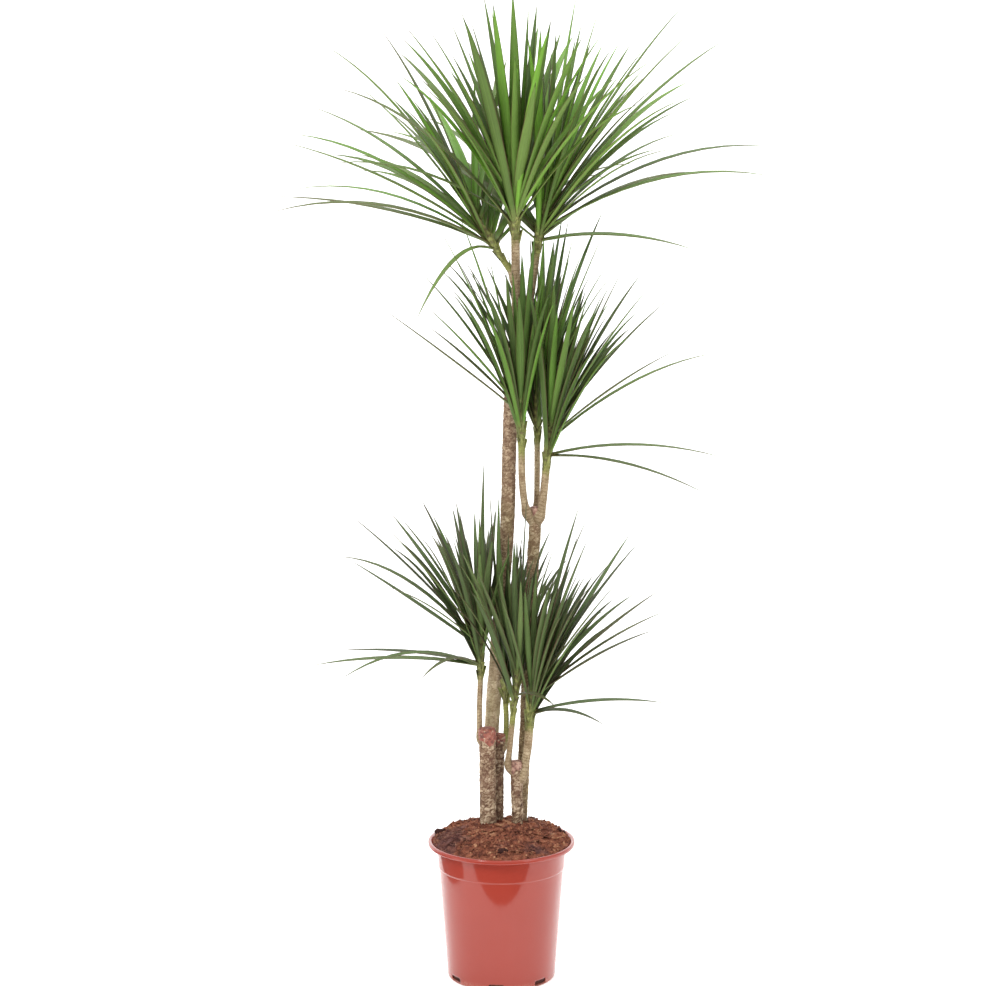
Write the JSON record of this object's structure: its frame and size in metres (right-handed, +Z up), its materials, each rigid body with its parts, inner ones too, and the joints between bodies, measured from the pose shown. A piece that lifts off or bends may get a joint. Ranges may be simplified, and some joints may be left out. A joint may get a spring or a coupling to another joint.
{
  "type": "potted dracaena",
  "caption": "Dragon tree: bare brown canes at three heights with sword-leaved heads on side shoots, standing in a round tapered nursery pot of soil.",
  "frame": {"origin": "centre of the pot's flat base, on the surface that it stands on", "axes": "+Z up along the plant, -Y to the front as pictured, +X to the viewer's right"},
  "size_m": [0.781, 0.5076, 1.589],
  "materials": {
    "pot": "terracotta-red moulded plastic with a soft gloss",
    "soil": "crumbly reddish-brown peat and coir",
    "bark": "dry tan bark with a net of ridges and leaf scars",
    "wax": "dull red sealing wax",
    "leaf_top": "smooth green leaf with a dark red edge, half gloss",
    "leaf_middle": "smooth green leaf with a dark red edge, half gloss",
    "leaf_low": "smooth dark olive leaf with a dark red edge, half gloss"
  },
  "bodies": {
    "root": {"pot": "pot", "soil": "soil", "cane_tall": "bark", "cane_medium": "bark", "cane_short_left": "bark", "cane_short_back": "bark", "cane_short_right": "bark", "wax_tall": "wax", "wax_medium": "wax", "wax_short_left": "wax", "wax_short_back": "wax", "wax_short_right": "wax", "leaves_top_left": "leaf_top", "leaves_top_centre": "leaf_top", "leaves_top_right": "leaf_top", "leaves_middle_left": "leaf_middle", "leaves_middle_back": "leaf_middle", "leaves_middle_right": "leaf_middle", "leaves_low_left": "leaf_low", "leaves_low_back": "leaf_low", "leaves_low_centre": "leaf_low", "leaves_low_right": "leaf_low"}
  },
  "joints": []
}
